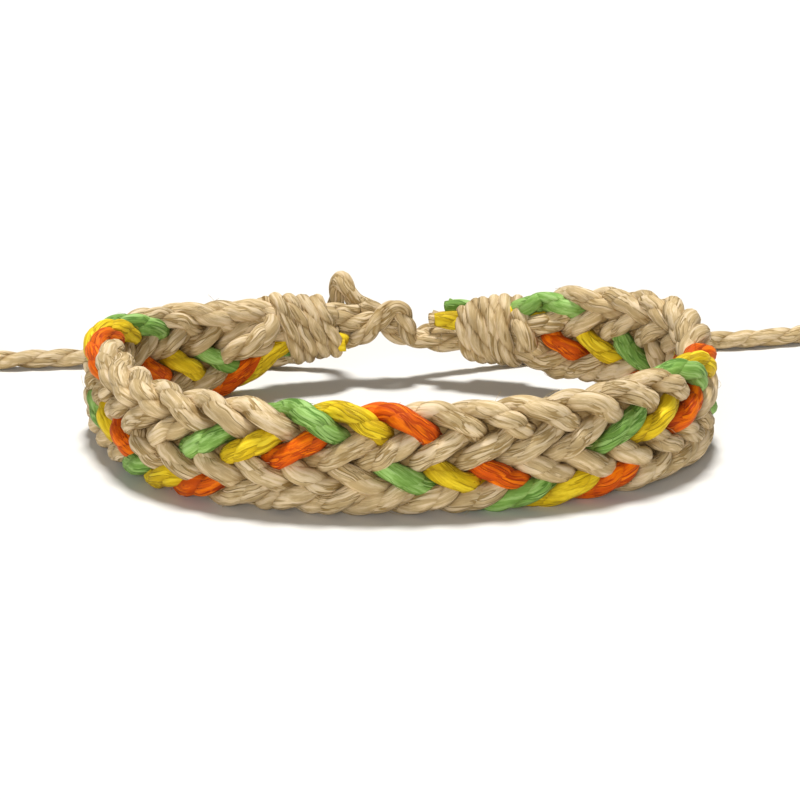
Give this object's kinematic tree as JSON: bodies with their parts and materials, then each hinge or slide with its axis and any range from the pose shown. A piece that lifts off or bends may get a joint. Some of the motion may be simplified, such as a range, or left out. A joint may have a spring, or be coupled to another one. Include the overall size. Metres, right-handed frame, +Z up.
{
  "type": "woven bracelet",
  "caption": "Flat braided cord bracelet closed into a loop, with whipped ends, a half knot at the back and two free tie tails.",
  "frame": {"origin": "under the middle of the bracelet's box, without its free tails, on the surface that it lies on", "axes": "+Z up through the loop, the way a wrist goes in; +Y from the front of the loop to the closure at the back; +X to the right"},
  "size_m": [0.1003, 0.0616, 0.0122],
  "materials": {
    "natural_cord": "waxed natural hemp-like cord, matt",
    "green_cord": "waxed green cord, matt",
    "yellow_cord": "waxed yellow cord, matt",
    "orange_cord": "waxed orange cord, matt"
  },
  "bodies": {
    "root": {"braid_band": "natural_cord", "whipping_left": "natural_cord", "whipping_right": "natural_cord", "tie_left": "natural_cord", "tie_right": "natural_cord", "closure_knot": "natural_cord", "tail_left": "natural_cord", "tail_right": "natural_cord", "end_knot_left": "natural_cord", "end_knot_right": "natural_cord"}
  },
  "joints": []
}
